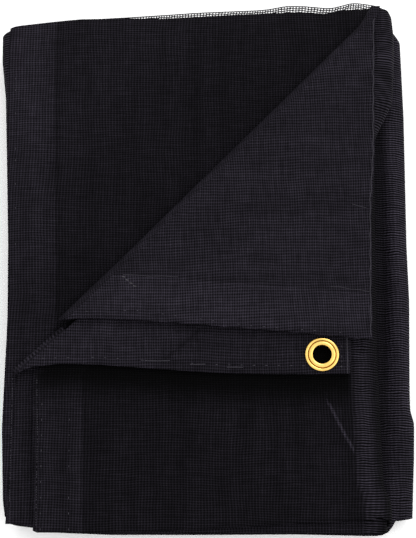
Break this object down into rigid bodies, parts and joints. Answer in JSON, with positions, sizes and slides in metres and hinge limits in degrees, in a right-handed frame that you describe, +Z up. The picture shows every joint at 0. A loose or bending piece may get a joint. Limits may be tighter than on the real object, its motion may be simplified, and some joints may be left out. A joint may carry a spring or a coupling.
{
  "type": "folded mesh tarp",
  "caption": "Black mesh shade tarp folded flat into a pack, one corner turned over a hemmed edge with a brass grommet.",
  "frame": {"origin": "middle of the outline's bounding box, on the surface that the pack lies on", "axes": "+X to the right across the pack, +Y along it, away from the grommeted end, +Z up from the resting face"},
  "size_m": [0.3058, 0.401, 0.0488],
  "materials": {
    "mesh_cloth": "knitted black plastic tape with fine open gaps, faint sheen",
    "hem_cloth": "doubled hem of the same black mesh, stitched",
    "brass": "polished, yellow"
  },
  "bodies": {
    "root": {"folded_tarp": "mesh_cloth", "hem_strip": "hem_cloth", "grommet_eyelet": "brass", "grommet_washer": "brass"}
  },
  "joints": []
}
